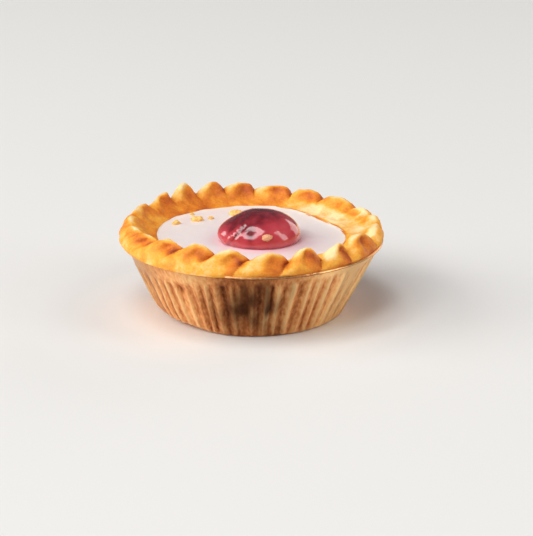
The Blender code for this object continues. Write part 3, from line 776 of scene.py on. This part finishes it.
def makeCherryMaterial():
    material, tree, shader, place = newMaterial(
        "glace_cherry_flesh",
        {
            "Roughness": 0.18,
            "IOR": 1.45,
            "Subsurface Weight": 0.55,
            "Subsurface Radius": (1.0, 0.12, 0.12),
            "Subsurface Scale": 2.5 * mm,
            "Coat Weight": 1.0,
            "Coat Roughness": 0.06,
        },
    )
    cloud = addNode(tree, "ShaderNodeTexNoise", {"Scale": 1 / (3 * mm), "Detail": 3.0}, {"Vector": place})
    thin = addNode(tree, "ShaderNodeAttribute", {"attribute_name": "thin"}).outputs["Fac"]
    mixed = addNode(
        tree, "ShaderNodeMath", {"operation": "MULTIPLY_ADD", 1: 0.5}, {0: cloud.outputs["Fac"], 2: thin}
    )
    colour = addNode(tree, "ShaderNodeValToRGB", links={"Fac": mixed.outputs[0]})
    setRamp(colour, [(0.22, cherry["deep"]), (0.5, cherry["skin"]), (0.85, cherry["bright"])])
    tree.links.new(colour.outputs["Color"], shader.inputs["Base Color"])
    wrinkle = addNode(tree, "ShaderNodeTexNoise", {"Scale": 1 / (1.3 * mm), "Detail": 3.0}, {"Vector": place})
    bump = addNode(
        tree, "ShaderNodeBump", {"Strength": 0.15, "Distance": 0.15 * mm}, {"Height": wrinkle.outputs["Fac"]}
    )
    tree.links.new(bump.outputs["Normal"], shader.inputs["Normal"])
    return material


def cherrySurface(up, azimuth):
    # radius * sqrt(1 - ((up - equator) / (1 - equator))^2) over the equator, a quarter sine below it
    turn = np.radians(azimuth)
    widest, foot, equator = cherry["radius"], cherry["foot"], cherry["equator"]
    below = foot + (widest - foot) * np.sin(0.5 * np.pi * np.clip(up / equator, 0, 1))
    climb = np.clip((up - equator) / (1 - equator), 0, 1)
    above = widest * np.sqrt(np.clip(1 - climb**2, 0, 1))
    radius = np.where(up < equator, below, above)
    place, halfWidth, times, much = cherry["creases"]
    swell = 1 + much * hump(azimuth, place, halfWidth) * np.cos(times * turn) * (1 - up)
    for place, halfWidth, level, reach, much in cherry["bulges"]:
        swell += much * hump(azimuth, place, halfWidth) * bell(up, level, reach)
    return radius * (swell + cherry["oval"] * np.cos(2 * turn + 0.4))


def makeCherry():
    azimuth = np.arange(cherry["columns"]) * 360.0 / cherry["columns"]
    up = np.sin(np.linspace(0, 0.5 * np.pi, cherry["rows"] + 1))[:-1]
    level, turn = np.meshgrid(up, azimuth, indexing="ij")
    foot = float(icingTop(cherry["x"], cherry["y"])) - cherry["sunk"]
    tall = cherry["height"] + cherry["sunk"]
    points = aroundAxis(cherrySurface(level, turn), turn, foot + level * tall)
    points[..., 0] += cherry["x"]
    points[..., 1] += cherry["y"]
    normal = gridNormals(points)
    # folds run up to the right over the stem end, with fine creases across them
    x = points[..., 0] - cherry["x"]
    upward, backward = cherry["foldRise"]
    high = (points[..., 2] - foot) * upward + (points[..., 1] - cherry["y"]) * backward
    acrossFold = (x - high) * math.sqrt(0.5)
    alongFold = (x + high) * math.sqrt(0.5)
    leftward, forward = cherry["foldFade"]
    folded = smoothStep(-x, *leftward) * smoothStep(cherry["y"] - points[..., 1], *forward)
    fold = sum(rise * bell(acrossFold, place, reach) for place, reach, rise in cherry["folds"])
    place, reach, rise, close = cherry["foldCreases"]
    fold = (fold + rise * np.sin(alongFold * close) * bell(acrossFold, place, reach)) * folded
    lumps = sum(rise * softNoise(points, cell, seed) for rise, cell, seed in cherry["lumps"])
    fade = smoothStep(level, 0.02, 0.15)
    points = points + normal * ((fold + lumps) * fade)[..., None]
    # how much light comes through: 1 low down to 0 at the top, less over the folds, more at the tip
    shaded = level + 0.12 * softNoise(points, 3.5, 13) + 0.2 * folded - 0.014 * x
    thin = 1 - smoothStep(shaded, 0.46, 1.0)
    place, reach, much = cherry["tip"]
    thin += much * bell(x, place, reach) * bell(level, 0.5, 0.3)
    # painted shade in the grooves by the folds
    thin -= sum(much * bell(acrossFold, place, reach) for place, reach, much in cherry["foldShades"]) * folded
    # the painted dark middle of the ring-shaped highlight
    aside, ahead, reach, much = cherry["highlightDarkMiddle"]
    thin -= much * bell(x, aside, reach) * bell(points[..., 1] - cherry["y"], ahead, 1.2 * reach)
    piece = closedSurface(
        "candied_half_cherry",
        points,
        (cherry["x"], cherry["y"], foot),
        (cherry["x"], cherry["y"], foot + tall),
        makeCherryMaterial(),
        {"thin": 0.6 * np.clip(thin, 0, 1)},
    )
    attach(piece, "root")
    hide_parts("glace_cherry")


# Set white fondant icing: smooth sugar, so a soft satin, with pink round the cherry, partly syrup bleeding
# and partly painted shade with red reflected from the cherry
icing = {
    "rows": 120,
    "columns": 420,
    "thickness": 1.7,
    "ripple": ((5, 0.25, 0.8),),  # waves of its edge: times round, mm, phase
    "ragged": ((17, 0.12, 0.0), (31, 0.10, math.radians(70))),
    "edgeRise": (0.30, 0.7),  # it climbs the pastry by this much, and how far out in mm
    "cherryRise": (0.28, 0.6),
    "swells": ((0.07, 6.0, 21), (0.03, 2.2, 22)),  # mm high, mm apart, noise number
    "pinkReach": 1.6,  # mm round the cherry
    "pinkReachesFurther": (-35.0, 80.0, 2.2),  # it reaches further here as painted shade with reflected red: azimuth, degrees to each side, mm
    "pinkRagged": (0.8, 3.0, 23),  # mm, mm apart, noise number
    "pinkStrength": 0.85,
    "warmEdge": 1.6,  # mm in from the pastry
    "white": "#EDE3E2",
    "warm": "#FAEEE2",
    "pink": "#E9B9C2",
}


def makeIcingMaterial():
    material, tree, shader, place = newMaterial(
        "set_fondant_icing",
        {"Subsurface Weight": 0.25, "Subsurface Radius": (1.0, 0.8, 0.7), "Subsurface Scale": 1.0 * mm},
    )
    # pink, partly syrup and partly painted shade with red reflected from the cherry
    syrupAndShade = addNode(tree, "ShaderNodeAttribute", {"attribute_name": "syrupAndShade"}).outputs["Fac"]
    margin = addNode(tree, "ShaderNodeAttribute", {"attribute_name": "margin"}).outputs["Fac"]
    edge = addNode(
        tree,
        "ShaderNodeMix",
        {"data_type": "RGBA", 6: toLinear(icing["white"]), 7: toLinear(icing["warm"])},
        {0: margin},
    )
    tinted = addNode(
        tree,
        "ShaderNodeMix",
        {"data_type": "RGBA", 7: toLinear(icing["pink"])},
        {0: syrupAndShade, 6: edge.outputs[2]},
    )
    tree.links.new(tinted.outputs[2], shader.inputs["Base Color"])
    cloud = addNode(tree, "ShaderNodeTexNoise", {"Scale": 1 / (4 * mm), "Detail": 4.0}, {"Vector": place})
    satin = addNode(
        tree, "ShaderNodeMapRange", {"To Min": 0.28, "To Max": 0.5}, {"Value": cloud.outputs["Fac"]}
    )
    tree.links.new(satin.outputs["Result"], shader.inputs["Roughness"])
    crystals = addNode(
        tree, "ShaderNodeTexNoise", {"Scale": 1 / (0.7 * mm), "Detail": 3.0}, {"Vector": place}
    )
    bump = addNode(
        tree, "ShaderNodeBump", {"Strength": 0.2, "Distance": 0.1 * mm}, {"Height": crystals.outputs["Fac"]}
    )
    tree.links.new(bump.outputs["Normal"], shader.inputs["Normal"])
    return material


def makeIcing():
    # rings from the ragged edge to the middle, where the top climbs the pastry and the cherry by
    # exp(-distance / reach)
    azimuth = np.arange(icing["columns"]) * 360.0 / icing["columns"]
    share = 1 - np.linspace(0, 1, icing["rows"] + 1)[:-1] ** 1.15
    out, turn = np.meshgrid(share, azimuth, indexing="ij")
    edge = icingOutline(turn) + 0.25 + waves(np.radians(turn), icing["ragged"])
    radius = edge * out
    top = aroundAxis(radius, turn, 0.0)
    x, y = top[..., 0], top[..., 1]
    fromEdge = edge - radius
    fromCherry = np.hypot(x - cherry["x"], y - cherry["y"]) - cherry["radius"]
    climb, reach = icing["edgeRise"]
    height = icingTop(x, y) + climb * np.exp(-fromEdge / reach)
    climb, reach = icing["cherryRise"]
    height += climb * np.exp(-np.clip(fromCherry, 0, 9) / reach)
    height += sum(high * softNoise(top, cell, seed) for high, cell, seed in icing["swells"])
    top[..., 2] = height
    bottom = tart["rimHeight"] + tart["icingEdge"] - icing["thickness"]
    under = [
        aroundAxis(icingOutline(azimuth) - 1.0, azimuth, bottom),
        aroundAxis(edge[0] - 0.1, azimuth, bottom + 0.9),
    ]
    points = np.concatenate([np.stack(under), top])
    # pink round the cherry, partly syrup and partly painted shade with reflected red
    sideways = np.degrees(np.arctan2(y - cherry["y"], x - cherry["x"]))
    ragged, cell, seed = icing["pinkRagged"]
    reach = icing["pinkReach"] + spots(sideways, [icing["pinkReachesFurther"]]) + ragged * softNoise(top, cell, seed)
    syrupAndShade = np.exp(-np.clip(fromCherry, 0, 20) / np.maximum(reach, 0.4)) * icing["pinkStrength"]
    margin = np.exp(-fromEdge / icing["warmEdge"])
    pad = np.zeros((2, len(azimuth)))
    piece = closedSurface(
        "white_fondant_icing",
        points,
        (0, 0, bottom),
        (0, 0, float(height[-1].mean())),
        makeIcingMaterial(),
        {"syrupAndShade": np.concatenate([pad, syrupAndShade]), "margin": np.concatenate([pad + 1, margin])},
    )
    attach(piece, "root")
    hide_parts("icing")


# Crumbs of baked pastry that fell on the icing: rough golden grains
crumbs = {
    # x, y, length, width in mm and how far turned, degrees
    "onIcing": (
        (-20.2, 8.2, 2.2, 1.8, 20.0),
        (-14.8, 10.9, 3.1, 2.2, 5.0),
        (-11.2, 12.8, 1.7, 1.2, 40.0),
        (-16.4, 16.9, 1.4, 1.1, 70.0),
        (-4.6, 16.6, 3.3, 2.0, 10.0),
    ),
    "onCherry": ((3.7, -15.3, 2.8, 1.9, 15.0),),
    "columns": 48,
    "rows": 26,
    "light": "#FAD27C",
    "dark": "#E8A648",
    "lightStained": "#F0B88C",
    "darkStained": "#D08A5C",
}


def crumbPoints(x, y, height, length, width, turn, seed):
    # an ellipsoid whose radius is 1 + layered noise, turned about Z
    azimuth = np.arange(crumbs["columns"]) * 360.0 / crumbs["columns"]
    climb = np.linspace(-90, 90, crumbs["rows"] + 2)[1:-1]
    lift, around = np.meshgrid(np.radians(climb), np.radians(azimuth), indexing="ij")
    ball = np.stack([np.cos(lift) * np.cos(around), np.cos(lift) * np.sin(around), np.sin(lift)], axis=-1)
    rough = 1 + 0.22 * softNoise(ball, 0.8, seed) + 0.12 * softNoise(ball, 0.35, seed + 1)
    ball = ball * rough[..., None] * np.array([length, width, width]) / 2
    c, s = math.cos(math.radians(turn)), math.sin(math.radians(turn))
    ball = ball @ np.array([[c, s, 0], [-s, c, 0], [0, 0, 1]])
    return ball + np.array([x, y, height + 0.1 * width])


def makeCrumbMaterial(name, dark, light):
    material, tree, shader, place = newMaterial(name, {"Roughness": 0.6})
    grain = addNode(tree, "ShaderNodeTexNoise", {"Scale": 1 / (0.5 * mm), "Detail": 4.0}, {"Vector": place})
    colour = addNode(tree, "ShaderNodeValToRGB", links={"Fac": grain.outputs["Fac"]})
    setRamp(colour, [(0.35, dark), (0.6, light)])
    tree.links.new(colour.outputs["Color"], shader.inputs["Base Color"])
    bump = addNode(
        tree, "ShaderNodeBump", {"Strength": 0.5, "Distance": 0.1 * mm}, {"Height": grain.outputs["Fac"]}
    )
    tree.links.new(bump.outputs["Normal"], shader.inputs["Normal"])
    return material


def makeCrumbs():
    # those on the cherry stand at the dome's height there, equator + (1 - equator) * sqrt(1 - out^2)
    dry = makeCrumbMaterial("golden_pastry_crumb", crumbs["dark"], crumbs["light"])
    tinted = makeCrumbMaterial("syrup_stained_crumb", crumbs["darkStained"], crumbs["lightStained"])
    foot = float(icingTop(cherry["x"], cherry["y"])) - cherry["sunk"]
    tall = cherry["height"] + cherry["sunk"]
    placed = [(row, float(icingTop(row[0], row[1])), "icing_crumb", dry) for row in crumbs["onIcing"]]
    for row in crumbs["onCherry"]:
        out = math.hypot(row[0] - cherry["x"], row[1] - cherry["y"]) / cherry["radius"]
        dome = math.sqrt(max(0.0, 1 - out**2))
        level = cherry["equator"] + (1 - cherry["equator"]) * dome
        placed.append((row, foot + tall * level, "cherry_crumb", tinted))
    for number, ((x, y, length, width, turn), height, label, material) in enumerate(placed):
        points = crumbPoints(x, y, height, length, width, turn, 40 + 2 * number)
        poles = points[0].mean(0), points[-1].mean(0)
        piece = closedSurface(f"{label}_{number + 1}", points, *poles, material)
        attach(piece, "root")


makeFoilCase()
makePastry()
makeIcing()
makeCherry()
makeCrumbs()
print("tart made")

# A pale matt table under soft boxes, with a window at the front left; lights are in mm and watts
studio = {
    "elevation": 18.6,  # of the camera over the table, degrees
    "distance": 450.0,  # mm
    "frameWidth": 139.5,  # mm seen across the image at the tart
    "aim": (3.6, 0.0, 10.2),
    "tableHalf": 2.5,  # metres
    "facing": (0.0, 0.0, 12.0),  # what the boxes face
    "floor": "#E6E5E3",
    "world": "#B9BCC2",
    "worldStrength": 0.2,
    "lights": (
        ("key", (-2080, -240, 1040), (1500, 1500), 34.0, "#FFFCF7"),
        ("fill", (1750, -560, 800), (640, 2700), 17.0, "#FFFAF4"),
        ("edge", (1500, 1500, 420), (1300, 1600), 11.0, "#FFF8F0"),
    ),
    "window": (-1110, -1270, 2460),  # four boxes round a dark middle, so the cherry's highlight is a ring
    "panes": (  # place in the window, sides, watts
        ((-650, 0), (540, 3200), 27.0),
        ((650, 0), (540, 3200), 27.0),
        ((0, 1060), (760, 1080), 13.0),
        ((0, -1060), (760, 1080), 13.0),
    ),
}


def makeStudio():
    scene = bpy.context.scene
    floorMaterial, tree, shader, place = newMaterial(
        "pale_matt_table", {"Base Color": toLinear(studio["floor"]), "Roughness": 0.75}
    )
    tooth = addNode(tree, "ShaderNodeTexNoise", {"Scale": 1 / (3 * mm), "Detail": 3.0}, {"Vector": place})
    bump = addNode(
        tree, "ShaderNodeBump", {"Strength": 0.05, "Distance": 0.1 * mm}, {"Height": tooth.outputs["Fac"]}
    )
    tree.links.new(bump.outputs["Normal"], shader.inputs["Normal"])
    half = studio["tableHalf"]
    corners = [(-half, -half, 0), (half, -half, 0), (half, half, 0), (-half, half, 0)]
    mesh = bpy.data.meshes.new("table")
    mesh.from_pydata(corners, [], [(0, 1, 2, 3)])
    mesh.materials.append(floorMaterial)
    floor = bpy.data.objects.new("table", mesh)
    scene.collection.objects.link(floor)

    world = bpy.data.worlds.new("studio")
    world.use_nodes = True
    sky = world.node_tree.nodes["Background"]
    sky.inputs["Color"].default_value = toLinear(studio["world"])
    sky.inputs["Strength"].default_value = studio["worldStrength"]
    scene.world = world

    centre = Vector(studio["facing"])

    def addBox(name, place, sides, power, colour, aside=(0, 0)):
        # a soft box that faces the tart; aside moves it in its own plane
        lamp = bpy.data.lights.new(name, "AREA")
        lamp.shape = "RECTANGLE"
        lamp.size, lamp.size_y = sides[0] * mm, sides[1] * mm
        lamp.energy = power
        lamp.color = toLinear(colour)[:3]
        box = bpy.data.objects.new(name, lamp)
        facing = (centre - Vector(place)).to_track_quat("-Z", "Y")
        box.location = (Vector(place) + facing @ Vector((*aside, 0))) * mm
        box.rotation_euler = facing.to_euler()
        scene.collection.objects.link(box)

    for row in studio["lights"]:
        addBox(*row)
    for number, (aside, sides, power) in enumerate(studio["panes"]):
        addBox(f"window_{number + 1}", studio["window"], sides, power, "#FFFFFF", aside)

    lens = bpy.data.cameras.new("camera")
    lens.sensor_fit = "HORIZONTAL"
    lens.lens = lens.sensor_width * studio["distance"] / studio["frameWidth"]
    camera = bpy.data.objects.new("camera", lens)
    rise = math.radians(studio["elevation"])
    back = Vector((0, -math.cos(rise), math.sin(rise)))
    camera.location = (Vector(studio["aim"]) + back * studio["distance"]) * mm
    camera.rotation_euler = (-back).to_track_quat("-Z", "Y").to_euler()
    lens.clip_start, lens.clip_end = 0.01, 20.0
    scene.collection.objects.link(camera)
    scene.camera = camera
    scene.view_settings.view_transform = "Standard"


makeStudio()
